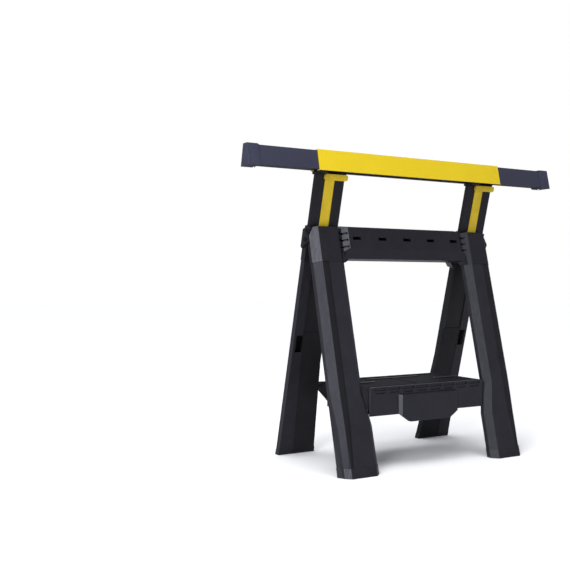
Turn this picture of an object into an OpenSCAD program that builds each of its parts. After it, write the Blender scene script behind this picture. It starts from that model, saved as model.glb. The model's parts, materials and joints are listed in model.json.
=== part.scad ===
// Folding sawhorse with a telescoping beam, extension bars and a fold-up shelf.
// X runs along the beam, -Y is the front and Z is up from the floor.

/* [Beam] */
// Height of the top of the beam cover above the floor
beam_top = 813; // [805:1:820]
// Height of the beam section
beam_h = 54; // [53:1:56]
// Width of the beam section across its top
beam_top_w = 20; // [18:1:22]
// Width of the beam section across its bottom
beam_bottom_w = 44; // [42:1:46]
// Length of the steel cover
cover_len = 610; // [600:1:620]
// Sheet thickness of the steel cover
cover_wall = 2; // [1.5:0.1:2.2]
// Length over the two drawn-out bars
reach = 1010; // [990:1:1030]
// Length of each extension bar
bar_len = 296; // [280:1:298]
// Length of a bar's end cap
cap_len = 35; // [30:1:40]

/* [Frames] */
// Width over the outer sides of the heads
frame_w = 603; // [602:0.5:604]
// Lean of the front frame from upright, in degrees
front_lean = 13.8; // [13.5:0.1:14]
// Lean of the rear frame from upright, in degrees
rear_lean = 14.55; // [14.3:0.05:14.8]
// Height of the fold hinge above the floor
hinge_z = 587; // [583:1:590]
// Depth of the front frame's mouldings
front_depth = 29.3; // [28:0.1:30]
// Depth of the rear frame's mouldings
rear_depth = 32; // [31:0.5:34]
// Wall of the plastic mouldings
wall = 3.4; // [3:0.1:3.5]
// Diameter of the fold hinge pins
hinge_pin_d = 7; // [6:0.5:7]

/* [Posts and latches] */
// Width of a post
post_w = 87; // [86:0.5:87]
// Depth of a post without its rib
post_t = 12; // [10:0.5:12]
// Distance between the centres of the posts
post_pitch = 508; // [507:0.5:508.5]
// Distance the beam comes down
lift_travel = 112; // [100:1:112]
// Width of a latch's strip
strip_w = 28; // [24:1:28]
// Distance a latch lifts to let go
latch_travel = 4.5; // [3:0.5:4.5]

/* [Shelf] */
// Height of the shelf's deck above the floor
shelf_top = 209; // [205:1:212]
// Width of the shelf between the front legs
shelf_w = 380; // [374:1:381]
// Depth of the shelf's edge skirt
skirt_h = 72; // [66:1:74]
// Diameter of the shelf's pivot pins
shelf_pin_d = 8; // [6:0.5:8]

/* [Hidden] */
$fn = 48;

// Finish colours
black_plastic = "#2b2b30";
dark_plastic = "#1f1f23";
shoe_grey = "#4a4a50";
yellow_steel = "#e8cd2d";
yellow_plastic = "#cdb228";
bar_blue = "#42435c";
steel = "silver";

// The hinge stands a little in front of the object's middle
hinge_y = -7.6;
far = 800;
gap = 0.3;
eps = 0.01;

// Both frames are drawn upright with the hinge at the origin, y to the rear
front_face = -27.8;
front_back = front_face + front_depth;
rear_face = front_back + 0.5;
rear_back = rear_face + rear_depth;
head_side = frame_w / 2;
leg_side = head_side - 1;
lip = 2.5;

// Upper part of the frames: front face of a head lies between these two
head_in = 222.5;
head_out = 282;
panel_x = 190;
valley_x = 203;
valley_y = front_face + 13;
bay_end = 203;
front_seam = -64.5;
front_top = 29;
panel_bottom = -55;
panel_bend = -28;
panel_slope = 9;
rear_seam = -58.5;
rear_top = 33;
rear_bottom = -47;
pin_end = 294;

// Heights along the front leg where its outline bends
flare_top = -405;
flare_low = -486;
leg_end = -660;
sole = 5;
front_shoe_h = 24;
rear_shoe_h = 15;

// Posts ride in the rear legs, behind a lip on each side
post_face = rear_face + lip + gap;
post_back = post_face + post_t;
post_rib_back = post_back + 9;
post_x = post_pitch / 2;
rib_half = 25;
channel_in = post_x - post_w / 2 - gap;
channel_out = post_x + post_w / 2 + gap;
mouth_in = channel_in + 4;
mouth_out = 274;
post_low = -262;
post_high = 175;
strip_dx = -1.5;
strip_face = post_face - 1.5;
strip_back = post_face + 1.8;
strip_low = -52;
spring_y = post_face + 7;
spring_low = 8.2;
spring_top = 22;
tab_low = 157;
tab_high = 173;
stop_z = -36;
stop_r = 4;

// Beam lies ahead of the hinge
beam_y = hinge_y - 46;
beam_bottom = beam_top - beam_h;
bar_gap = 0.5;
saddle_h = 6;
screw_head_h = 1.2;

// Shelf pivots inside the rear legs
shelf_pivot_y = hinge_y + 124;
shelf_pivot_z = 188;
shelf_front = hinge_y - 121;
shelf_rear = hinge_y + 80;
shelf_bottom = shelf_top - skirt_h;
ear_half = 195;
ear_t = 11;
apron_half = 66;
apron_side = 97;
apron_proud = 8;
apron_drop = 21;
deck_t = 3;
rib_low = shelf_top - 12;

// ---------- placing ----------

module front_pose() {
    translate([0, hinge_y, hinge_z]) rotate([-front_lean, 0, 0]) children();
}

module rear_pose() {
    translate([0, hinge_y, hinge_z]) rotate([rear_lean, 0, 0]) children();
}

// Keeps what lies between two heights above the floor
module slab(low, high) {
    intersection() {
        children();
        translate([-far, -far, low]) cube([2 * far, 2 * far, high - low]);
    }
}

module both_sides() {
    children();
    mirror([1, 0, 0]) children();
}

module bar_along_x(x0, x1, r) {
    translate([x0, 0, 0]) rotate([0, 90, 0]) cylinder(r = r, h = x1 - x0);
}

module block(low, high) {
    translate(low) cube(high - low);
}

// Prism along X whose end outline is given as [y, z] points
module prism_x(x0, x1, outline) {
    translate([x0, 0, 0]) rotate([90, 0, 90]) linear_extrude(x1 - x0) polygon(outline);
}

// Prism along Y whose end outline is given as [x, z] points
module prism_y(y0, y1, outline) {
    translate([0, y1, 0]) rotate([90, 0, 0]) linear_extrude(y1 - y0) polygon(outline);
}

// Solid through anticlockwise outlines at rising heights
module loft(sections, heights) {
    n = len(sections[0]);
    top = len(sections) - 1;
    points = [for (k = [0:top]) for (p = sections[k]) [p[0], p[1], heights[k]]];
    lower = [for (k = [0:top - 1]) for (i = [0:n - 1])
        [k * n + i, (k + 1) * n + i, (k + 1) * n + (i + 1) % n]];
    upper = [for (k = [0:top - 1]) for (i = [0:n - 1])
        [k * n + i, (k + 1) * n + (i + 1) % n, k * n + (i + 1) % n]];
    floor_face = [for (i = [0:n - 1]) i];
    roof_face = [for (i = [n - 1:-1:0]) top * n + i];
    polyhedron(points, concat([floor_face, roof_face], lower, upper), convexity = 4);
}

// ---------- front frame ----------

// Outline of the front leg: in and out are the edges of its front face,
// ci and co its chamfers, w the inset of this outline from the outside
function front_outline(in, out, ci, co, side, w = 0) = [
    [in + 0.45 * w, front_face + 0.8 + w],
    [out - 0.45 * w, front_face + 0.8 + w],
    [out + co[0] - w, front_face + 0.8 + co[1] + 0.4 * w],
    [side - w, front_back + (w > 0 ? 1 : 0)],
    [in - ci + w, front_back + (w > 0 ? 1 : 0)],
    [in - ci + w, front_face + 0.8 + ci + 0.4 * w]
];

front_heights = [leg_end, flare_low, flare_top, front_seam];
function front_sections(w = 0) = [
    front_outline(202, 274.5, 16, [13.5, 12], leg_side - 0.5, w),
    front_outline(204, 279, 16, [13.5, 12.5], leg_side - 0.5, w),
    front_outline(220.5, head_out - 1, 16.5, [18.5, 16.5], leg_side, w),
    front_outline(221.5, head_out - 1, 16.5, [18.5, 16.5], leg_side, w)
];

module front_leg_ribs() {
    for (z = [-130:-75:-580]) translate([150, front_face, z]) cube([200, front_depth - 5, 2.5]);
    translate([post_x - 4, front_face, -620]) cube([2.5, front_depth - 8, 540]);
}

// Shallow relief beside the outer chamfer, deepest at its inner edge and running out at the foot
function relief_outline(in, out) = [
    [in - 0.3, front_face - 1], [out, front_face - 1], [out, front_face + 0.9], [in, front_face + 3]
];

module front_relief() {
    loft([relief_outline(272, 274.6), relief_outline(262, 279),
        relief_outline(261.5, 281), relief_outline(261.5, 281)],
        [leg_end + 15, flare_low, flare_top, front_seam]);
}

// Spigot that plugs up into the head
module front_spigot() {
    top = front_seam + 24;
    difference() {
        union() {
            leg_ring(wall - 1, front_seam - 8, front_seam - 1);
            head_ring(wall + 0.1, front_seam - 2, top);
        }
        head_ring(2 * wall, front_seam - 9, top + 1);
        translate([-far, front_back - eps, -far]) cube(2 * far);
    }
}

// Straight lengths of the leg's and the head's outlines, drawn in by inset
module leg_ring(inset, low, high) {
    loft([for (k = [0:1]) front_outline(221.5, head_out - 1, 16.5, [18.5, 16.5], leg_side, inset)],
        [low, high]);
}

module head_ring(inset, low, high) {
    loft([for (k = [0:1]) front_outline(head_in, head_out, 16, [19.5, 18], head_side, inset)], [low, high]);
}

module front_leg() {
    slab(sole, far) front_pose() {
        difference() {
            union() {
                difference() {
                    loft(front_sections(), front_heights);
                    difference() {
                        loft(front_sections(wall), [leg_end, flare_low, flare_top, front_seam + 1]);
                        front_leg_ribs();
                    }
                }
                front_spigot();
            }
            front_relief();
            front_screw_bore();
            shelf_rest_bore();
        }
    }
}

module front_shoe() {
    rise = 1.2;
    slab(0, front_shoe_h) front_pose() difference() {
        union() {
            loft(front_sections(-rise), front_heights);
            for (k = [0:4]) translate([277.5 + 2.7 * k, front_face + 2.2 + 2.44 * k, 0])
                rotate([0, 0, 42]) translate([-0.8, -rise - 0.6, leg_end]) cube([1.6, 2, 200]);
        }
        difference() {
            loft(front_sections(-0.1), front_heights);
            rotate([front_lean, 0, 0]) translate([-far, -far, -far - hinge_z + sole])
                cube([2 * far, 2 * far, far]);
        }
        translate([-far, front_back, -far]) cube(2 * far);
    }
}

// One screw holds each front leg's spigot, put in from the bay beside the head
module at_front_screw() {
    translate([0, -5, front_seam + 17.5]) children();
}

module front_screw_bore() {
    at_front_screw() bar_along_x(198, 218, 2);
}

module front_leg_screws() {
    color(steel) front_pose() both_sides() at_front_screw() {
        bar_along_x(bay_end, bay_end + 13, 2);
        difference() {
            bar_along_x(bay_end - 2.2, bay_end, 3.6);
            for (a = [0, 90]) translate([bay_end - 2.7, 0, 0]) rotate([a, 0, 0])
                translate([0, -0.5, -2.4]) cube([1.4, 1, 4.8]);
        }
    }
}

// Plan outline shared by both heads and the panel between them
module front_header_plan() {
    right = [
        [panel_x, front_face], [valley_x, valley_y], [valley_x + 3, valley_y],
        [head_in, front_face], [head_out, front_face], [head_side, front_face + 18],
        [head_side, front_back]
    ];
    left = [for (k = [6:-1:0]) [-right[k][0], right[k][1]]];
    polygon(concat(right, left));
}

module front_header_pockets() {
    // Bays behind the panel, between the ribs
    for (x = [-165:82.5:165]) {
        half = abs(x) > 150 ? 20 : 39.5;
        block([x - half, front_face + wall, panel_bend], [x + half, 10, front_top - wall]);
        block([x - half, front_face + panel_slope + wall, panel_bottom + wall],
            [x + half, 10, panel_bend + 1]);
    }
    both_sides() block([panel_x, valley_y + wall, panel_bottom + wall], [bay_end, 10, front_top - wall]);
    // Hollow heads, open below for the leg's spigot
    both_sides() head_ring(wall, front_seam - 1, front_top - wall);
}

// Flat face that closes each valley below its grooves
module valley_foot() {
    intersection() {
        translate([0, 0, front_seam]) linear_extrude(front_top - front_seam) polygon([
            [panel_x - 2, front_face], [valley_x + 0.9, front_face], [valley_x + 0.9, front_face + 8],
            [head_in - 6, front_face + 8], [head_in - 12, front_face + 14], [panel_x - 2, front_face + 14]
        ]);
        prism_y(front_face, front_face + 20, [
            [panel_x - 2, front_seam], [head_in, front_seam], [head_in, -45], [panel_x - 2, -26]
        ]);
    }
}

module front_header() {
    color(black_plastic) front_pose() difference() {
        union() {
            difference() {
                translate([0, 0, front_seam]) linear_extrude(front_top - front_seam) front_header_plan();
                front_header_pockets();
                // Head above the hinge stops against the rear frame
                rotate([front_lean + rear_lean, 0, 0]) translate([-far, rear_face - gap, -far / 2])
                    cube([2 * far, far, far]);
                both_sides() prism_y(front_face - 1, 20, [
                    [head_side - 10, front_top + 1], [head_side + 0.5, front_top - 22],
                    [head_side + 1, front_top + 1]
                ]);
            }
            both_sides() valley_foot();
            // Knuckles and the solid lands that carry the hinge pins
            both_sides() {
                bar_along_x(channel_out + 0.5, head_side, 9);
                block([290, front_face + 20, -8], [head_side, front_back - 1, 0]);
            }
        }
        // Opening under the panel, with a gusset at each end
        prism_y(front_face - 20, 60, [
            [-213, front_seam - 9], [-206.5, front_seam - 1], [-194, panel_bottom], [194, panel_bottom],
            [206.5, front_seam - 1], [213, front_seam - 9]
        ]);
        // Lower edge of the panel slopes in
        prism_x(-panel_x - 14, panel_x + 14, [
            [front_face - 5, panel_bottom - 20], [front_face + panel_slope, panel_bottom - 1],
            [front_face, panel_bend], [front_face - 5, panel_bend]
        ]);
        // Row of slots
        for (x = [-165:82.5:165]) block([x - 13, front_face - 1, -5], [x + 13, 5, 3.5]);
        // Grooves across the valleys
        both_sides() for (z = [10.5, -7.5, -25.5]) translate([0, 0, z])
            linear_extrude(5.6) polygon([
                [panel_x + 1.5, front_face - 1],
                [panel_x + 1.5, front_face + 8], [valley_x - 2, valley_y + 7],
                [valley_x + 6, valley_y + 7], [head_in - 7, front_face + 7], [head_in - 2, front_face - 1]
            ]);
        both_sides() bar_along_x(pin_end - 0.5, head_side + 1, hinge_pin_d / 2 + 0.06);
        both_sides() front_screw_bore();
    }
}

// ---------- rear frame ----------

function rear_outline(in, rise = 0) = [
    [in - rise, rear_face], [leg_side + rise, rear_face], [leg_side + rise, rear_face + 18],
    [head_out + 3 + 0.4 * rise, rear_back + rise], [in + 16 - 0.4 * rise, rear_back + rise],
    [in - rise, rear_face + 18]
];

rear_in_top = channel_in - wall;
rear_in_foot = 186;
rear_taper = -340;
rear_heights = [leg_end, rear_taper, rear_seam];
function rear_sections(rise = 0) = [
    rear_outline(rear_in_foot - 2, rise), rear_outline(rear_in_top, rise), rear_outline(rear_in_top, rise)
];

// Space in which a post slides
module post_channel(low, high) {
    block([channel_in, rear_face + lip, low], [channel_out, post_back + gap, high]);
    block([post_x - rib_half - gap, post_back - 1, low], [post_x + rib_half + gap, rear_back - wall, high]);
}

// Opening that shows the post between its lips
module post_mouth(low, high) {
    block([mouth_in, rear_face - 1, low], [mouth_out, post_face, high]);
}

// Slot in the back wall whose ends stop the post's travel
module stop_slot() {
    y0 = rear_back - wall - 2;
    for (z = [stop_z, stop_z - lift_travel]) translate([0, y0, z]) rotate([-90, 0, 0])
        cylinder(r = stop_r + gap, h = wall + 4);
    block([-stop_r - gap, y0, stop_z - lift_travel], [stop_r + gap, y0 + wall + 4, stop_z]);
}

// Tongues on top of a rear leg, held in the head by a screw each
tongues = [[216, 228], [280.5, 290]];
rear_screw_x = [224.5, 283.5];
tongue_h = 12;

module rear_tongues(play = 0) {
    for (t = tongues)
        block([t[0] - play, 20 - play, rear_seam - 2],
            [t[1] + play, 28 + play, rear_seam + tongue_h + play]);
}

module at_rear_screws() {
    for (x = rear_screw_x) translate([x, rear_back + 1, rear_seam + tongue_h / 2])
        rotate([90, 0, 0]) children();
}

module rear_leg_screws() {
    color(steel) rear_pose() both_sides() at_rear_screws() {
        translate([0, 0, 1.5]) cylinder(r = 2, h = 11.5);
        difference() {
            cylinder(r = 3.4, h = 2);
            for (a = [0, 90]) rotate([0, 0, a]) translate([-2.2, -0.5, -1]) cube([4.4, 1, 2]);
        }
    }
}

// Bottom of the post's channel, bottom of its mouth and depth of the panel sunk in below the mouth
channel_low = -384;
mouth_low = -255;
recess_d = 0.8;

// Hollow of the lower leg, open at the sole, where the shoe closes it
function rear_cavity(in) = [
    [in + wall, rear_face + recess_d + wall], [leg_side - wall, rear_face + recess_d + wall],
    [leg_side - wall, rear_face + 17], [head_out + 2, rear_back - wall], [in + 17, rear_back - wall],
    [in + wall, rear_face + 17]
];

module rear_hollow() {
    top = channel_low - 6;
    in_foot = rear_in_foot - 2;
    in_top = rear_in_top + (in_foot - rear_in_top) * (top - rear_taper) / (leg_end - rear_taper);
    loft([rear_cavity(in_foot), rear_cavity(in_top)], [leg_end - 1, top]);
}

// slot_dx is how far the stop slot lies from the post's centre
module rear_leg(slot_dx) {
    slab(sole, far) rear_pose() difference() {
        union() {
            loft(rear_sections(), rear_heights);
            rear_tongues();
        }
        post_channel(channel_low, rear_seam + 20);
        post_mouth(mouth_low, rear_seam + 20);
        prism_y(rear_face - 1, rear_face + recess_d, [
            [rear_in_foot - 10, leg_end - 1], [mouth_out - 20, leg_end - 1],
            [mouth_out, mouth_low], [rear_in_foot - 10, mouth_low]
        ]);
        rear_hollow();
        // Window beside the post
        block([mouth_out - 1, rear_face - 1, -309], [head_side - 8, rear_face + 12, -262]);
        shelf_pin_hole();
        translate([post_x + slot_dx, 0, 0]) stop_slot();
        at_rear_screws() cylinder(r = 2, h = 13);
    }
}

module rear_shoe() {
    rise = 1.2;
    slab(0, rear_shoe_h) rear_pose() difference() {
        loft(rear_sections(rise), rear_heights);
        difference() {
            loft(rear_sections(0.1), rear_heights);
            rotate([-rear_lean, 0, 0]) translate([-far, -far, -far - hinge_z + sole])
                cube([2 * far, 2 * far, far]);
        }
    }
}

module rear_head_plan() {
    linear_extrude(rear_top - rear_seam) polygon([
        [rear_in_top - 1, rear_face], [head_side, rear_face], [head_side, rear_face + 19],
        [head_out + 4, rear_back + 1], [rear_in_top + 14, rear_back + 1], [rear_in_top - 1, rear_face + 19]
    ]);
}

module rear_cheek() {
    cheek_x0 = head_side + 0.5;
    cheek_x1 = head_side + 6;
    prism_x(cheek_x0, cheek_x1, [
        [-5, -8.7], [rear_face + 12, -26], [rear_face + 18, -22],
        [rear_face + 18, 24], [rear_face + 12, 28], [-5, 8.7]
    ]);
    bar_along_x(cheek_x0, cheek_x1, 10);
    block([head_side - 1, 11, -21], [cheek_x1, rear_face + 18, 23]);
}

module rear_header() {
    color(black_plastic) rear_pose() difference() {
        union() {
            both_sides() difference() {
                translate([0, 0, rear_seam]) rear_head_plan();
                bar_along_x(channel_out - 0.4, head_side + 2, 9.5);
            }
            difference() {
                block([-rear_in_top, rear_face, rear_bottom], [rear_in_top, rear_back - 4, rear_top]);
                for (x = [-165:82.5:165]) {
                    half = abs(x) > 150 ? 34 : 39.5;
                    block([x - half, rear_face - 1, rear_bottom + wall],
                        [x + half, rear_back - 4 - wall, rear_top - wall]);
                }
            }
            both_sides() prism_y(rear_face, rear_back - 4, [
                [rear_in_top, rear_bottom], [rear_in_top - 22, rear_bottom], [rear_in_top, rear_bottom - 26]
            ]);
            both_sides() rear_cheek();
        }
        both_sides() {
            post_channel(rear_seam - 1, rear_top + 1);
            post_mouth(rear_seam - 1, rear_top + 1);
        }
        both_sides() rear_tongues(0.1);
        both_sides() bar_along_x(pin_end - 0.5, head_side + 9, hinge_pin_d / 2);
        for (s = [-1, 1]) translate([s * post_x + strip_dx, 0, 0]) stop_slot();
        both_sides() at_rear_screws() {
            cylinder(r = 2, h = 13);
            translate([0, 0, -1]) cylinder(r = 3.4, h = 3);
        }
    }
}

module hinge_pins() {
    color(steel) rear_pose() both_sides() {
        bar_along_x(pin_end, head_side + 6, hinge_pin_d / 2);
        bar_along_x(head_side + 6, head_side + 8, hinge_pin_d / 2 + 2.5);
    }
}

// ---------- shelf ----------

module at_shelf_pivot() {
    translate([0, shelf_pivot_y, shelf_pivot_z]) children();
}

// Bore in the rear leg, drawn in the leg's own upright frame
module shelf_pin_hole() {
    rotate([-rear_lean, 0, 0]) translate([0, shelf_pivot_y - hinge_y, shelf_pivot_z - hinge_z])
        bar_along_x(190, 216, shelf_pin_d / 2);
}

module shelf_pins() {
    color(steel) at_shelf_pivot() both_sides() bar_along_x(ear_half - ear_t + 1, 213, shelf_pin_d / 2);
}

module shelf_ear() {
    prism_x(ear_half - ear_t, ear_half, [
        [shelf_rear - 40, shelf_bottom], [shelf_pivot_y - 6, shelf_pivot_z - 12],
        [shelf_pivot_y, shelf_pivot_z],
        [shelf_pivot_y, shelf_pivot_z + 12],
        [shelf_rear - 8, shelf_top - 2], [shelf_rear - 40, shelf_top - 2]
    ]);
    at_shelf_pivot() bar_along_x(ear_half - ear_t, ear_half, 12);
}

// Outline of the deck seen from above, drawn in by w
module shelf_plan(w = 0) {
    half = shelf_w / 2 - w;
    corner = 1.5;
    polygon([
        [-half + corner, shelf_front + w], [half - corner, shelf_front + w],
        [half, shelf_front + corner + w],
        [half, shelf_rear - w], [-half, shelf_rear - w], [-half, shelf_front + corner + w]
    ]);
}

module shelf_body() {
    translate([0, 0, shelf_bottom]) linear_extrude(skirt_h) shelf_plan();
    // Proud middle of the apron, deeper than the rest
    translate([0, 0, shelf_bottom - apron_drop]) linear_extrude(skirt_h + apron_drop - 22) polygon([
        [-apron_side - 3, shelf_front + 1], [-apron_side + 5, shelf_front - apron_proud],
        [apron_side - 5, shelf_front - apron_proud], [apron_side + 3, shelf_front + 1],
        [apron_side + 3, shelf_front + 14], [-apron_side - 3, shelf_front + 14]
    ]);
}

module shelf_hollow() {
    inner = shelf_bottom - apron_drop - 1;
    difference() {
        translate([0, 0, inner]) linear_extrude(shelf_top - deck_t - inner) shelf_plan(3);
        for (x = [-138:46:138]) block([x - 1.25, shelf_front, rib_low], [x + 1.25, shelf_rear, shelf_top]);
        for (y = [shelf_front + 66, shelf_front + 133])
            block([-shelf_w / 2, y - 1.25, rib_low], [shelf_w / 2, y + 1.25, shelf_top]);
        // Solid band that carries the castellated edge
        block([-shelf_w / 2, shelf_front, shelf_top - 22], [shelf_w / 2, shelf_front + 8.5, shelf_top]);
    }
}

module shelf_tray() {
    color(black_plastic) difference() {
        union() {
            difference() {
                shelf_body();
                shelf_hollow();
                // Apron's lower corners and the floor of its middle
                prism_y(shelf_front - 20, shelf_front + 30, [
                    [-apron_side - 20, shelf_bottom], [-apron_side, shelf_bottom],
                    [-apron_half, shelf_bottom - apron_drop],
                    [-apron_half, shelf_bottom - apron_drop - 5],
                    [-apron_side - 20, shelf_bottom - apron_drop - 5]
                ]);
                prism_y(shelf_front - 20, shelf_front + 30, [
                    [apron_side + 20, shelf_bottom], [apron_side, shelf_bottom],
                    [apron_half, shelf_bottom - apron_drop],
                    [apron_half, shelf_bottom - apron_drop - 5],
                    [apron_side + 20, shelf_bottom - apron_drop - 5]
                ]);
                // Castellated front edge: pockets above, a row of dashes below
                for (x = [-157.5:45:157.5]) {
                    block([x - 19.5, shelf_front - 1, shelf_top - 8.5],
                        [x + 19.5, shelf_front + 3, shelf_top - 2]);
                    block([x - 14, shelf_front - 1, shelf_top - 16.5],
                        [x + 14, shelf_front + 3, shelf_top - 12.5]);
                }
                // Sunk trays and a groove in the deck leave raised lips
                for (s = [-1, 1]) translate([s * 90, 0, 0])
                    block([-82, shelf_front + 34, shelf_top - 1.8], [82, shelf_rear - 12, shelf_top + 1]);
                block([-180, shelf_front + 9, shelf_top - 2], [180, shelf_front + 25, shelf_top + 1]);
                // Notch over each rest, sloped so that the rest can swing out of it
                both_sides() prism_x(shelf_w / 2 - 12, shelf_w / 2 + 1, [
                    [rest_y - rest_r - 1, shelf_bottom - 1], [rest_y + rest_r + 15, shelf_bottom - 1],
                    [rest_y + rest_r + 1, rest_z + rest_r + gap],
                    [rest_y - rest_r - 1, rest_z + rest_r + gap]
                ]);
            }
            both_sides() shelf_ear();
        }
        at_shelf_pivot() both_sides()
            bar_along_x(ear_half - ear_t - 1, ear_half + 1, shelf_pin_d / 2 + 0.06);
    }
}

rest_y = hinge_y - 111.5;
rest_r = 4.8;
rest_z = shelf_bottom + 9;

module shelf_rest_bore() {
    rotate([front_lean, 0, 0]) translate([0, rest_y - hinge_y, rest_z - hinge_z])
        bar_along_x(180, 206, 2.8);
}

module shelf_rest() {
    color(dark_plastic) translate([0, rest_y, rest_z]) {
        bar_along_x(180, 190.4, rest_r);
        bar_along_x(190.4, 203, 2.8);
    }
}

// ---------- lift ----------

// Solid core round the stop pin and the latch's spring
core_low = -56;
core_high = 30;

module post_bays() {
    // Bays on the back, between cross ribs
    bay = 68;
    for (z0 = [post_low + 4:bay + 4:core_low - 20], s = [-1, 1]) {
        z1 = min(z0 + bay, core_low);
        block([min(s * (rib_half + 3), s * (post_w / 2 - 3)), post_face + 4, z0],
            [max(s * (rib_half + 3), s * (post_w / 2 - 3)), post_back + 1, z1]);
    }
    for (z0 = [post_low + 4:bay + 4:core_low - 20])
        block([3 - rib_half, post_face + 6, z0],
            [rib_half - 3, post_rib_back + 1, min(z0 + bay, core_low)]);
    block([3 - rib_half, post_face + 6, core_high], [rib_half - 3, post_rib_back + 1, core_high + 58]);
    block([3 - rib_half, post_face + 6, core_high + 62], [rib_half - 3, post_rib_back + 1, post_high - 30]);
    for (s = [-1, 1]) block([min(s * (rib_half + 3), s * (post_w / 2 - 3)), post_face + 4, core_high],
        [max(s * (rib_half + 3), s * (post_w / 2 - 3)), post_back + 1, post_high - 30]);
}

module post() {
    color(dark_plastic) difference() {
        slab(0, beam_bottom - saddle_h) rear_pose() difference() {
            union() {
                block([-post_w / 2, post_face, post_low], [post_w / 2, post_back, post_high + 20]);
                block([-rib_half, post_back - 1, post_low], [rib_half, post_rib_back, post_high - 12]);
            }
            post_bays();
            // Groove for the latch strip
            block([strip_dx - strip_w / 2 - 0.4, post_face - 1, strip_low - 14],
                [strip_dx + strip_w / 2 + 0.4, strip_back + 0.4, post_high + 30]);
            translate([strip_dx, post_face - 1, stop_z]) rotate([-90, 0, 0]) cylinder(r = stop_r, h = 40);
            // Pocket for the latch's foot and spring
            block([strip_dx - 5, post_face, -10], [strip_dx + 5, spring_y + 4.2, spring_top]);
        }
        at_cover_screws() cylinder(r = 2, h = 30);
    }
}

// Bracket that carries the cover on a post, clear of the latch's tab
module saddle() {
    half = 48;
    front_arm = -26;
    color(dark_plastic) difference() {
        union() {
            block([-half, beam_y + 8, beam_bottom - saddle_h],
                [half, beam_y + beam_bottom_w / 2, beam_bottom]);
            block([-half, beam_y - beam_bottom_w / 2 + 1, beam_bottom - saddle_h],
                [front_arm, beam_y + 9, beam_bottom]);
        }
        at_cover_screws() cylinder(r = 2, h = 30);
    }
}

// Two screws go down through the cover's lip and a saddle into the post
module at_cover_screws() {
    for (x = [-37, 37]) translate([x, beam_y + 15.5, beam_bottom - 19]) children();
}

// Cross-section of the beam, drawn in by w, with its foot at height low
function beam_outline(w = 0, low = 0) = [
    [beam_y - beam_bottom_w / 2 + 1.15 * w + low * (beam_bottom_w - beam_top_w) / 2 / beam_h,
    beam_bottom + low],
    [beam_y + beam_bottom_w / 2 - 1.15 * w - low * (beam_bottom_w - beam_top_w) / 2 / beam_h,
    beam_bottom + low],
    [beam_y + beam_top_w / 2 - 0.8 * w, beam_top - w], [beam_y - beam_top_w / 2 + 0.8 * w, beam_top - w]
];

module beam_cover() {
    color(yellow_steel) difference() {
        prism_x(-cover_len / 2, cover_len / 2, beam_outline());
        prism_x(-cover_len / 2 - 1, cover_len / 2 + 1, beam_outline(cover_wall, cover_wall));
        block([-cover_len / 2 - 1, beam_y - 9, beam_bottom - 1],
            [cover_len / 2 + 1, beam_y + 9, beam_bottom + 3]);
        for (s = [-1, 1]) translate([s * post_x, 0, 0]) at_cover_screws() {
            cylinder(r = 2, h = 19 + cover_wall + 0.2);
            translate([0, 0, 19 + cover_wall - screw_head_h]) cylinder(r = 3.6, h = screw_head_h + 0.2);
        }
    }
}

module cover_screws() {
    color(steel) for (s = [-1, 1]) translate([s * post_x, 0, 0]) at_cover_screws() {
        cylinder(r = 2, h = 19 + cover_wall - 0.5);
        translate([0, 0, 19 + cover_wall - screw_head_h]) cylinder(r = 3.6, h = screw_head_h);
    }
}

module bar_section(w) {
    polygon(beam_outline(cover_wall + bar_gap + w, cover_wall + bar_gap + w));
}

module extension_bar() {
    outer_x = reach / 2 - 3;
    color(bar_blue) difference() {
        translate([outer_x - bar_len, 0, 0]) rotate([90, 0, 90]) linear_extrude(bar_len) bar_section(0);
        translate([outer_x - bar_len - 1, 0, 0]) rotate([90, 0, 90])
            linear_extrude(bar_len + 2) bar_section(2.2);
        cap_screw_place() cylinder(r = 2, h = 20);
    }
}

module cap_screw_place() {
    translate([reach / 2 - 24, beam_y, beam_bottom - 3]) children();
}

// How far a side of the beam section leans in, for each millimetre up
cap_lean = (beam_bottom_w - beam_top_w) / 2 / beam_h;

module bar_cap() {
    x0 = reach / 2 - cap_len;
    color(bar_blue) difference() {
        union() {
            prism_x(x0 + 4, reach / 2, beam_outline(0, -1));
            prism_x(x0, x0 + 5, beam_outline(1.6, 0.6));
        }
        translate([x0 - 1, 0, 0]) rotate([90, 0, 90]) linear_extrude(cap_len - 2) bar_section(-0.1);
        // Grip grooves up both sides
        for (k = [0:4], s = [-1, 1]) prism_x(x0 + 9 + 4.5 * k, x0 + 10.6 + 4.5 * k, [
            for (p = [[-1, 22], [0.7, 22], [0.7, 42], [-1, 42]])
                [beam_y + s * (beam_bottom_w / 2 - p[0] - cap_lean * p[1]), beam_bottom + p[1]]
        ]);
        cap_screw_place() cylinder(r = 2, h = 20);
    }
}

module cap_screw() {
    color(steel) cap_screw_place() {
        cylinder(r = 2, h = 8);
        translate([0, 0, -0.5]) cylinder(r = 3.6, h = 2.4);
    }
}

// ---------- latches ----------

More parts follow.
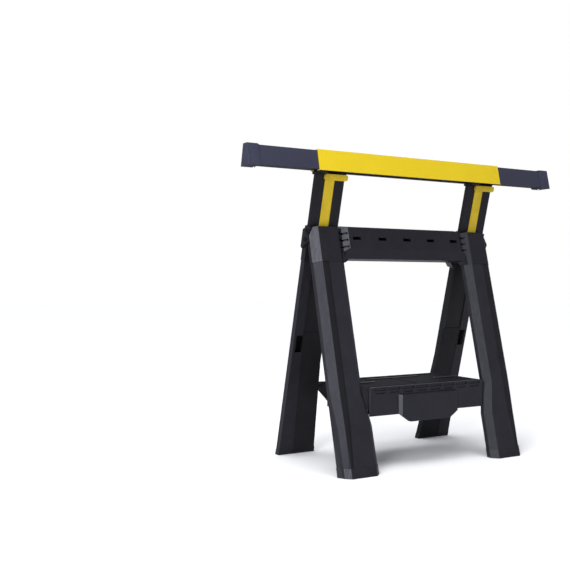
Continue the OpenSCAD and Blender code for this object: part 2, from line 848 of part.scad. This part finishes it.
module latch() {
    left = strip_dx - strip_w / 2;
    right = strip_dx + strip_w / 2;
    color(yellow_plastic) rear_pose() difference() {
        union() {
            block([left, strip_face, strip_low], [right, strip_back, tab_high - 9]);
            // Foot that presses on the spring
            block([strip_dx - 4, strip_back - 1, spring_low - 5],
                [strip_dx + 4, spring_y + 3.4, spring_low]);
            // Tab, with rounded corners, stands proud of the strip
            intersection() {
                block([left - 4, strip_face - 5.5, tab_low], [right + 37, post_face - 0.4, tab_high]);
                union() {
                    block([left, -20, tab_low - 1], [right + 31, 20, tab_high + 1]);
                    block([left - 4, -20, tab_low + 4], [left + 1, 20, tab_high - 5]);
                    block([right + 30, -20, tab_low + 7], [right + 37, 20, tab_high - 6]);
                    for (p = [[left + 1, tab_high - 5, 5], [left, tab_low + 4, 4],
                        [right + 31, tab_high - 6, 6], [right + 30, tab_low + 7, 7]])
                        translate([p[0], 20, p[1]]) rotate([90, 0, 0]) cylinder(r = p[2], h = 40);
                }
            }
        }
        // Slot that clears the stop pin through the latch's travel
        block([strip_dx - stop_r - 0.4, strip_face - 2, stop_z - latch_travel - stop_r - 0.6],
            [strip_dx + stop_r + 0.4, strip_back + 2, stop_z + stop_r + 0.6]);
    }
}

// Pin that keeps the post in its leg and the latch on its post
module stop_pin() {
    color(steel) rear_pose() translate([strip_dx, 0, stop_z]) rotate([-90, 0, 0]) {
        translate([0, 0, strip_face - 2.2]) cylinder(r = stop_r + 2, h = 2);
        translate([0, 0, strip_face - 0.3]) cylinder(r = stop_r, h = rear_back - 1 - strip_face);
    }
}

// Helical spring of round wire, drawn as rings of a swept tube
module coil(radius, wire, height, turns) {
    steps = 12;
    sides = 6;
    rings = turns * steps;
    points = [for (k = [0:rings]) for (i = [0:sides - 1])
        let (a = 360 * k / steps, b = -360 * i / sides, r = radius + wire * cos(b))
        [r * cos(a), r * sin(a), wire + (height - 2 * wire) * k / rings + wire * sin(b)]];
    lower = [for (k = [0:rings - 1]) for (i = [0:sides - 1])
        [k * sides + i, (k + 1) * sides + i, (k + 1) * sides + (i + 1) % sides]];
    upper = [for (k = [0:rings - 1]) for (i = [0:sides - 1])
        [k * sides + i, (k + 1) * sides + (i + 1) % sides, k * sides + (i + 1) % sides]];
    start_face = [for (i = [0:sides - 1]) i];
    end_face = [for (i = [sides - 1:-1:0]) rings * sides + i];
    polyhedron(points, concat([start_face, end_face], lower, upper), convexity = 6);
}

module latch_spring() {
    color(steel) rear_pose() translate([strip_dx, spring_y, spring_low + 0.1])
        coil(2.6, 0.6, spring_top - spring_low - 0.2, 6);
}

// ---------- assembly ----------

rear_header();
color(black_plastic) mirror([1, 0, 0]) rear_leg(-strip_dx);  // rear_leg_left
color(black_plastic) rear_leg(strip_dx);  // rear_leg_right
color(shoe_grey) mirror([1, 0, 0]) rear_shoe();  // rear_foot_left
color(shoe_grey) rear_shoe();  // rear_foot_right
rear_leg_screws();
hinge_pins();
shelf_pins();
front_header();
color(black_plastic) mirror([1, 0, 0]) front_leg();  // front_leg_left
color(black_plastic) front_leg();  // front_leg_right
color(shoe_grey) mirror([1, 0, 0]) front_shoe();  // front_foot_left
color(shoe_grey) front_shoe();  // front_foot_right
front_leg_screws();
mirror([1, 0, 0]) shelf_rest();  // shelf_rest_left
shelf_rest();  // shelf_rest_right
translate([-post_x, 0, 0]) post();  // post_left
translate([post_x, 0, 0]) post();  // post_right
translate([-post_x, 0, 0]) saddle();  // saddle_left
translate([post_x, 0, 0]) saddle();  // saddle_right
beam_cover();
cover_screws();
mirror([1, 0, 0]) extension_bar();  // bar_left
extension_bar();  // bar_right
mirror([1, 0, 0]) bar_cap();  // bar_cap_left
bar_cap();  // bar_cap_right
mirror([1, 0, 0]) cap_screw();  // cap_screw_left
cap_screw();  // cap_screw_right
translate([-post_x, 0, 0]) latch();  // latch_left
translate([post_x, 0, 0]) latch();  // latch_right
translate([-post_x, 0, 0]) stop_pin();  // stop_pin_left
translate([post_x, 0, 0]) stop_pin();  // stop_pin_right
translate([-post_x, 0, 0]) latch_spring();  // latch_spring_left
translate([post_x, 0, 0]) latch_spring();  // latch_spring_right
shelf_tray();
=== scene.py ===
"""Folding sawhorse: materials, rounded edges, small details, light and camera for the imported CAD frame."""
import json
import math

import bmesh
import bpy
from mathutils import Matrix, Vector


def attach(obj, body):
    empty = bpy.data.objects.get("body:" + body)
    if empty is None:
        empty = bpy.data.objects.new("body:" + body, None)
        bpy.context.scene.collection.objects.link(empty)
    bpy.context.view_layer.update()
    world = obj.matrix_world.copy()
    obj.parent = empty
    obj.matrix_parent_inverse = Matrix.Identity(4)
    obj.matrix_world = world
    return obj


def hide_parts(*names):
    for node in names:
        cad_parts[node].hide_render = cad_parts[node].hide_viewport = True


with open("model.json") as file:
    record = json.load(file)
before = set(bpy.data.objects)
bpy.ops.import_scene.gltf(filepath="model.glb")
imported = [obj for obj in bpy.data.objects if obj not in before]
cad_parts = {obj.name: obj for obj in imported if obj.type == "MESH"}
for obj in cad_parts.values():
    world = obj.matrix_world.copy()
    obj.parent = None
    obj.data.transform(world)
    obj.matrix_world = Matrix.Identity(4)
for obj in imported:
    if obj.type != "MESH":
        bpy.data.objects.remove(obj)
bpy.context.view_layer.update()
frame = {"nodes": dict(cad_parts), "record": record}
BODY_OF = {node: body for body, nodes in frame["record"]["behaviour"]["bodies"].items() for node in nodes}
SLOT_OF = {part["node"]: part["material_slot"] for part in frame["record"]["subparts"]}
MM = 0.001


# ---------- materials ----------

def new_material(name):
    mat = bpy.data.materials.new(name)
    mat.use_nodes = True
    return mat, mat.node_tree.nodes, mat.node_tree.links, mat.node_tree.nodes["Principled BSDF"]


def noise(nodes, links, coords, scale, detail=4.0, stretch=(1, 1, 1)):
    """A noise texture in object space, in 1/m, stretched along the axes."""
    mapping = nodes.new("ShaderNodeMapping")
    mapping.inputs["Scale"].default_value = stretch
    links.new(coords.outputs["Object"], mapping.inputs["Vector"])
    tex = nodes.new("ShaderNodeTexNoise")
    tex.inputs["Scale"].default_value = scale
    tex.inputs["Detail"].default_value = detail
    links.new(mapping.outputs["Vector"], tex.inputs["Vector"])
    return tex.outputs["Fac"]


def spread(nodes, links, source, low, high, out_low, out_high):
    """Maps source from low..high to out_low..out_high."""
    node = nodes.new("ShaderNodeMapRange")
    node.inputs["From Min"].default_value = low
    node.inputs["From Max"].default_value = high
    node.inputs["To Min"].default_value = out_low
    node.inputs["To Max"].default_value = out_high
    links.new(source, node.inputs["Value"])
    return node.outputs["Result"]


def mix_colour(nodes, links, factor, a, b):
    node = nodes.new("ShaderNodeMix")
    node.data_type = "RGBA"
    links.new(factor, node.inputs["Factor"])
    for value, name in ((a, "A"), (b, "B")):
        socket = [s for s in node.inputs if s.name == name and s.type == "RGBA"][0]
        if isinstance(value, bpy.types.NodeSocket):
            links.new(value, socket)
        else:
            socket.default_value = (*value, 1)
    return [s for s in node.outputs if s.type == "RGBA"][0]


def mix_value(nodes, links, a, b):
    """The mean of two values."""
    node = nodes.new("ShaderNodeMix")
    node.inputs["Factor"].default_value = 0.5
    links.new(a, node.inputs[2])
    links.new(b, node.inputs[3])
    return node.outputs[0]


def add_bump(nodes, links, bsdf, layers):
    """Chains bumps of (height socket, strength, distance in metres)."""
    previous = None
    for height, strength, distance in layers:
        bump = nodes.new("ShaderNodeBump")
        bump.inputs["Strength"].default_value = strength
        bump.inputs["Distance"].default_value = distance
        links.new(height, bump.inputs["Height"])
        if previous is not None:
            links.new(previous, bump.inputs["Normal"])
        previous = bump.outputs["Normal"]
    links.new(previous, bsdf.inputs["Normal"])


def moulded_plastic(name, colour, scuff, roughness, specular=0.5, wear=0.35):
    """Injection-moulded plastic: spark texture, draw lines up the mould, faint mottling and handling scuffs."""
    mat, nodes, links, bsdf = new_material(name)
    coords = nodes.new("ShaderNodeTexCoord")
    fine = noise(nodes, links, coords, 2400, 3)
    mottle = noise(nodes, links, coords, 22, 5)
    draw = noise(nodes, links, coords, 420, 4, (1, 1, 0.035))
    streaks = noise(nodes, links, coords, 90, 6, (1.6, 1.6, 0.14))
    scuffs = spread(nodes, links, streaks, 0.60, 0.82, 0, wear)
    base = mix_colour(nodes, links, spread(nodes, links, mottle, 0.3, 0.7, 0, 1),
                      tuple(0.85 * c for c in colour), tuple(1.15 * c for c in colour))
    base = mix_colour(nodes, links, scuffs, base, scuff)
    links.new(base, bsdf.inputs["Base Color"])
    rough = mix_value(nodes, links, draw, streaks)
    links.new(spread(nodes, links, rough, 0.35, 0.65, roughness - 0.05, roughness + 0.07), bsdf.inputs["Roughness"])
    bsdf.inputs["Specular IOR Level"].default_value = specular
    bsdf.inputs["Specular Tint"].default_value = (0.88, 0.89, 1.0, 1)
    add_bump(nodes, links, bsdf, [(draw, 0.14, 0.00022), (fine, 0.22, 0.00012)])
    return mat


def powder_coat(name, colour, deep, roughness, specular=0.5):
    """Powder-coated steel: orange peel, slight pooling of colour, and lighter streaks along the length that are partly
    rubs and partly painted reflection.
    """
    mat, nodes, links, bsdf = new_material(name)
    coords = nodes.new("ShaderNodeTexCoord")
    peel = noise(nodes, links, coords, 900, 2)
    wave = noise(nodes, links, coords, 9, 4)
    rub_and_sheen = noise(nodes, links, coords, 60, 6, (0.08, 1.4, 1.4))
    base = mix_colour(nodes, links, spread(nodes, links, wave, 0.3, 0.7, 0, 1), colour, deep)
    # Lighter streaks along the length: partly rubs, partly a painted reflection
    base = mix_colour(nodes, links, spread(nodes, links, rub_and_sheen, 0.62, 0.84, 0, 0.20), base,
                      tuple(min(1, 1.25 * c + 0.01) for c in colour))
    links.new(base, bsdf.inputs["Base Color"])
    links.new(spread(nodes, links, rub_and_sheen, 0.3, 0.75, roughness - 0.04, roughness + 0.08), bsdf.inputs["Roughness"])
    bsdf.inputs["Specular IOR Level"].default_value = specular
    add_bump(nodes, links, bsdf, [(wave, 0.04, 0.001), (peel, 0.10, 0.0003)])
    return mat


def ribbed_rubber(name, colour, dust):
    """Rubber shoes, faintly dusty."""
    mat, nodes, links, bsdf = new_material(name)
    coords = nodes.new("ShaderNodeTexCoord")
    fine = noise(nodes, links, coords, 1500, 4)
    cloud = noise(nodes, links, coords, 55, 5)
    base = mix_colour(nodes, links, spread(nodes, links, cloud, 0.45, 0.75, 0, 0.5), colour, dust)
    links.new(base, bsdf.inputs["Base Color"])
    links.new(spread(nodes, links, cloud, 0.3, 0.7, 0.40, 0.52), bsdf.inputs["Roughness"])
    bsdf.inputs["Specular IOR Level"].default_value = 0.34
    bsdf.inputs["Specular Tint"].default_value = (0.88, 0.89, 1.0, 1)
    add_bump(nodes, links, bsdf, [(cloud, 0.10, 0.0008), (fine, 0.25, 0.0002)])
    return mat


def plated(name, bright, dull, rough_low, rough_high):
    """Plated or blackened steel, faintly crystalline and brushed."""
    mat, nodes, links, bsdf = new_material(name)
    coords = nodes.new("ShaderNodeTexCoord")
    bsdf.inputs["Metallic"].default_value = 1.0
    cells = nodes.new("ShaderNodeTexVoronoi")
    cells.inputs["Scale"].default_value = 420
    links.new(coords.outputs["Object"], cells.inputs["Vector"])
    links.new(mix_colour(nodes, links, cells.outputs["Distance"], bright, dull), bsdf.inputs["Base Color"])
    brush = noise(nodes, links, coords, 700, 3, (0.2, 1, 1))
    links.new(spread(nodes, links, brush, 0.3, 0.7, rough_low, rough_high), bsdf.inputs["Roughness"])
    add_bump(nodes, links, bsdf, [(brush, 0.08, 0.0001)])
    return mat


MATERIALS = {
    "black_plastic": moulded_plastic("black_plastic", (0.0096, 0.0091, 0.0120), (0.028, 0.028, 0.031), 0.38, 0.36),
    "leg_plastic": moulded_plastic("leg_plastic", (0.0150, 0.0145, 0.0182), (0.034, 0.034, 0.039), 0.50, 0.26),
    # Darker and duller: painted shade for the legs' recesses and reliefs
    "painted_shade_recess_plastic": moulded_plastic("painted_shade_recess_plastic", (0.0100, 0.0097, 0.0112), (0.019, 0.019, 0.021), 0.56, 0.22),
    "dark_plastic": moulded_plastic("dark_plastic", (0.0075, 0.0072, 0.0085), (0.020, 0.020, 0.022), 0.45, 0.25),
    "cap_plastic": moulded_plastic("cap_plastic", (0.030, 0.032, 0.056), (0.07, 0.07, 0.10), 0.42, 0.38),
    "deck_plastic": moulded_plastic("deck_plastic", (0.0095, 0.0092, 0.0110), (0.018, 0.018, 0.020), 0.62, 0.12),
    # Near-black painted shade for the lower and inner faces of the cover and the bars
    "painted_shade_underside": moulded_plastic("painted_shade_underside", (0.0060, 0.0060, 0.0072), (0.012, 0.012, 0.013), 0.60, 0.12),
    # Lighter and glossier: painted highlight for the shelf block's sides, the shoe ribs and the shelf beads
    "painted_highlight_plastic": moulded_plastic("painted_highlight_plastic", (0.032, 0.032, 0.037), (0.062, 0.062, 0.070), 0.36, 0.50),
    "yellow_plastic": moulded_plastic("yellow_plastic", (0.53, 0.375, 0.009), (0.58, 0.44, 0.04), 0.42, 0.35, wear=0.2),
    "yellow_paint": powder_coat("yellow_paint", (0.70, 0.515, 0.008), (0.665, 0.48, 0.007), 0.38, 0.35),
    "bar_paint": powder_coat("bar_paint", (0.033, 0.035, 0.060), (0.027, 0.029, 0.050), 0.40, 0.36),
    "shoe_rubber": ribbed_rubber("shoe_rubber", (0.0100, 0.0097, 0.0125), (0.019, 0.019, 0.021)),
    "zinc_steel": plated("zinc_steel", (0.60, 0.61, 0.62), (0.45, 0.46, 0.48), 0.26, 0.44),
    "black_steel": plated("black_steel", (0.035, 0.035, 0.038), (0.02, 0.02, 0.022), 0.35, 0.5),
}


# ---------- refined copies of the CAD nodes ----------

# Edge radius in millimetres that each moulded, pressed or turned piece shows
EDGE_RADIUS = {
    "front_leg_left": 1.6, "front_leg_right": 1.6, "rear_leg_left": 1.4, "rear_leg_right": 1.4,
    "front_header": 0.8, "rear_header": 0.8, "shelf_tray": 0.5, "beam_cover": 0.9,
    "bar_left": 0.9, "bar_right": 0.9, "bar_cap_left": 1.2, "bar_cap_right": 1.2,
    "latch_left": 0.8, "latch_right": 0.8, "post_left": 1.0, "post_right": 1.0,
    "front_foot_left": 0.8, "front_foot_right": 0.8, "rear_foot_left": 0.8, "rear_foot_right": 0.8,
    "saddle_left": 0.8, "saddle_right": 0.8,
}


def refine(node, radius):
    """A copy of a CAD node with its edges rounded, which stands for the node."""
    mesh = frame["nodes"][node].data.copy()
    piece = bpy.data.objects.new(node + "_moulded", mesh)
    bpy.context.scene.collection.objects.link(piece)
    bm = bmesh.new()
    bm.from_mesh(mesh)
    bmesh.ops.remove_doubles(bm, verts=bm.verts, dist=2e-6)
    bmesh.ops.recalc_face_normals(bm, faces=bm.faces)
    bm.to_mesh(mesh)
    bm.free()
    bevel = piece.modifiers.new("edges", "BEVEL")
    bevel.width = radius * MM
    bevel.segments = 3
    bevel.limit_method = "ANGLE"
    bevel.angle_limit = math.radians(24)
    bevel.use_clamp_overlap = True
    bevel.miter_outer = "MITER_ARC"
    bevel.harden_normals = True
    evaluated = piece.evaluated_get(bpy.context.evaluated_depsgraph_get())
    piece.data = bpy.data.meshes.new_from_object(evaluated)
    piece.modifiers.clear()
    finish_mesh(piece, SLOT_OF[node])
    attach(piece, BODY_OF[node])
    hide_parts(node)
    return piece


def finish_mesh(obj, slot):
    obj.data.materials.clear()
    obj.data.materials.append(MATERIALS[slot])


# The frames' hinge and their angles from upright, as in part.scad
HINGE = Vector((0, -0.0076, 0.587))
LEAN = {"front": math.radians(13.8), "rear": math.radians(-14.55)}

COVER_POINTS = [vert.co for vert in frame["nodes"]["beam_cover"].data.vertices]
COVER_MID = Vector([(min(p[k] for p in COVER_POINTS) + max(p[k] for p in COVER_POINTS)) / 2 for k in range(3)])


def upright(point, frame_name):
    """The point in millimetres as it lies in that frame's own upright drawing, hinge at the origin."""
    turned = Matrix.Rotation(LEAN[frame_name], 4, "X") @ (point - HINGE)
    return turned / MM


def second_finish(piece, name, inside):
    """Gives the faces that inside(middle, normal) picks another of the node's finishes."""
    piece.data.materials.append(MATERIALS[name])
    for face in piece.data.polygons:
        if inside(face.center, face.normal):
            face.material_index = len(piece.data.materials) - 1


def paint_recess_shade(piece, frame_name, inside):
    """Gives the faces inside a leg's recess a darker, duller finish, painted as the shade in the recess."""
    piece.data.materials[0] = MATERIALS["leg_plastic"]
    second_finish(piece, "painted_shade_recess_plastic", lambda middle, normal: inside(upright(middle, frame_name), normal))


# Each of these tells whether a face is one that gets the second finish. In the legs and shoes, point is in the
# millimetres of upright(); elsewhere middle is in metres.

def on_deck(middle, normal):
    return normal.z > 0.9 and middle.z > 0.205


def faces_down(middle, normal):
    return normal.z < -0.9


def under_cover(middle, normal):
    """Faces of the beam cover that look down or inward, which get a near-black painted shade."""
    away = middle - COVER_MID
    return faces_down(middle, normal) or away.y * normal.y + away.z * normal.z < 0


def in_rear_recess(point, normal):
    """The sunk front panel, the window and the post's channel of a rear leg."""
    x, y, z = abs(point.x), point.y, point.z
    return 2.4 < y < 33 and x < 299.2 and z < -60 and normal.y < 0.2 and (y > 3.5 or x < 275)


def in_relief(point, normal):
    """The relief beside a front leg's outer chamfer."""
    x, y, z = abs(point.x), point.y, point.z
    return 261 < x < 281 and -26.9 < y < -20 and z < -66 and normal.y < -0.5


def on_shoe_rib(point, normal):
    """The tops of the ribs on a front shoe's outer corner, proud of its chamfer."""
    x, y, z = abs(point.x), point.y, point.z
    corner = 275.04 + 4.5 * (z + 660) / 174
    return x > 270 and y < -8 and 0.678 * (x - corner) - 0.735 * (y + 28.2) > 0.3


def on_block_side(point, normal):
    """The two side facets of the block in the middle of the shelf's front, in metres."""
    return abs(point.x) < 0.13 and point.y < -0.1292 and 0.12 < point.z < 0.2 and abs(normal.x) > 0.4


for node, obj in frame["nodes"].items():
    if node in EDGE_RADIUS:
        moulded = refine(node, EDGE_RADIUS[node])
        if node.startswith("front_leg"):
            # The relief beside the outer chamfer gets painted shade
            paint_recess_shade(moulded, "front", in_relief)
        elif node.startswith("rear_leg"):
            # The sunk panel, window and channel get painted shade
            paint_recess_shade(moulded, "rear", in_rear_recess)
        elif node.startswith("front_foot"):
            # The tops of the shoe ribs get a painted highlight
            second_finish(moulded, "painted_highlight_plastic", lambda middle, normal: on_shoe_rib(upright(middle, "front"), normal))
        elif node == "shelf_tray":
            second_finish(moulded, "deck_plastic", on_deck)
            # The block's side facets get a painted highlight
            second_finish(moulded, "painted_highlight_plastic", on_block_side)
        elif node == "beam_cover":
            # The cover's lower and inner faces get a near-black painted shade
            second_finish(moulded, "painted_shade_underside", under_cover)
        elif node in ("bar_left", "bar_right", "bar_cap_left", "bar_cap_right"):
            # The bars' and caps' lower faces get a near-black painted shade
            second_finish(moulded, "painted_shade_underside", faces_down)
    else:
        for material_slot in obj.material_slots:
            material_slot.material = MATERIALS[SLOT_OF[node]]


# ---------- detail pieces ----------

def sweep(name, path, section, body, slot):
    """A piece swept along the points of path, in metres; section is a ring of (across, up) in millimetres."""
    mesh = bpy.data.meshes.new(name)
    bm = bmesh.new()
    rings = []
    for k, point in enumerate(path):
        ahead = (path[min(k + 1, len(path) - 1)] - path[max(k - 1, 0)]).normalized()
        side = ahead.cross(Vector((0, 0, 1))).normalized()
        above = side.cross(ahead)
        rings.append([bm.verts.new(point + MM * (a * side + u * above)) for a, u in section])
    for lower, upper in zip(rings, rings[1:]):
        for i in range(len(section)):
            j = (i + 1) % len(section)
            bm.faces.new((lower[i], lower[j], upper[j], upper[i]))
    bm.faces.new(reversed(rings[0]))
    bm.faces.new(rings[-1])
    bmesh.ops.recalc_face_normals(bm, faces=bm.faces)
    bm.to_mesh(mesh)
    bm.free()
    mesh.polygons.foreach_set("use_smooth", [len(face.vertices) == 4 for face in mesh.polygons])
    piece = bpy.data.objects.new(name, mesh)
    bpy.context.scene.collection.objects.link(piece)
    finish_mesh(piece, slot)
    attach(piece, body)
    return piece


def half_round(width, height, steps=8):
    """Section of a bead, sunk a little into what it stands on."""
    angles = [math.pi * k / steps for k in range(steps + 1)]
    arc = [(width / 2 * math.cos(angle), height * math.sin(angle)) for angle in angles]
    return arc + [(-width / 2, -0.4), (width / 2, -0.4)]


# Low beads on the shelf, painted bright as a highlight: (from x, to x, distance behind the front edge, width in
# millimetres)
DECK = 0.209
FRONT = -0.1286
for index, (x0, x1, back, width) in enumerate([
        (-0.186, 0.186, 0.0035, 5.0), (-0.186, -0.100, 0.106, 12.0), (0.100, 0.186, 0.106, 12.0),
        (-0.090, 0.090, 0.160, 8.0), (-0.176, 0.176, 0.1935, 4.2)]):
    steps = 24
    line = [Vector((x0 + (x1 - x0) * k / steps, FRONT + back, DECK)) for k in range(steps + 1)]
    bead = sweep("shelf_bead_%d" % index, line, half_round(width, 1.8), "shelf", "black_plastic")
    # The beads get a painted highlight
    bead.data.materials[0] = MATERIALS["painted_highlight_plastic"]


# ---------- floor, light and camera ----------

bpy.ops.mesh.primitive_plane_add(size=30, location=(0, 0, 0))
floor = bpy.context.object
floor.name = "floor"
# The floor looks white, but throws little light back up at the object
floor_material, floor_nodes, floor_links, floor_bsdf = new_material("floor_white")
floor_path = floor_nodes.new("ShaderNodeLightPath")
floor_links.new(mix_colour(floor_nodes, floor_links, floor_path.outputs["Is Camera Ray"], (0.62, 0.62, 0.64),
                           (0.92, 0.92, 0.92)), floor_bsdf.inputs["Base Color"])
floor_bsdf.inputs["Roughness"].default_value = 0.9
floor_bsdf.inputs["Specular IOR Level"].default_value = 0.0
floor.data.materials.append(floor_material)

# The backdrop is white, but what the object reflects is a studio that is dark at the sides and bright above
world = bpy.data.worlds.new("studio")
bpy.context.scene.world = world
world.use_nodes = True
world_nodes, world_links = world.node_tree.nodes, world.node_tree.links
seen = world_nodes["Background"]
seen.inputs["Color"].default_value = (1, 1, 1, 1)
seen.inputs["Strength"].default_value = 1.0
room = world_nodes.new("ShaderNodeBackground")
room.inputs["Color"].default_value = (0.92, 0.94, 1.0, 1)
direction = world_nodes.new("ShaderNodeTexCoord")
height = world_nodes.new("ShaderNodeSeparateXYZ")
world_links.new(direction.outputs["Generated"], height.inputs["Vector"])
world_links.new(spread(world_nodes, world_links, height.outputs["Z"], 0.0, 0.9, 0.13, 0.75), room.inputs["Strength"])
path = world_nodes.new("ShaderNodeLightPath")
either = world_nodes.new("ShaderNodeMixShader")
world_links.new(path.outputs["Is Camera Ray"], either.inputs["Fac"])
world_links.new(room.outputs["Background"], either.inputs[1])
world_links.new(seen.outputs["Background"], either.inputs[2])
world_links.new(either.outputs["Shader"], world_nodes["World Output"].inputs["Surface"])


def area_light(name, location, target, size, power):
    data = bpy.data.lights.new(name, "AREA")
    data.shape = "RECTANGLE"
    data.size, data.size_y = size
    data.energy = power
    data.color = (0.96, 0.97, 1.0)
    light = bpy.data.objects.new(name, data)
    light.location = location
    light.rotation_euler = (Vector(target) - Vector(location)).to_track_quat("-Z", "Y").to_euler()
    bpy.context.scene.collection.objects.link(light)


area_light("key", (-2.55, -1.85, 1.2), (0, 0, 0.40), (1.0, 2.2), 82)

overhead = bpy.data.lights.new("overhead", "SUN")
overhead.energy = 1.75
overhead.angle = math.radians(50)
overhead_light = bpy.data.objects.new("overhead", overhead)
overhead_light.rotation_euler = (math.radians(8), math.radians(-10), 0)
bpy.context.scene.collection.objects.link(overhead_light)

camera_data = bpy.data.cameras.new("camera")
camera_data.sensor_width = 36
camera_data.lens = 50.94
camera = bpy.data.objects.new("camera", camera_data)
camera.location = (-1.3724, -1.7980, 0.4754)
camera.rotation_euler = (math.radians(89.84), math.radians(-0.06), math.radians(-29.30))
bpy.context.scene.collection.objects.link(camera)
bpy.context.scene.camera = camera
bpy.context.scene.view_settings.view_transform = "Standard"
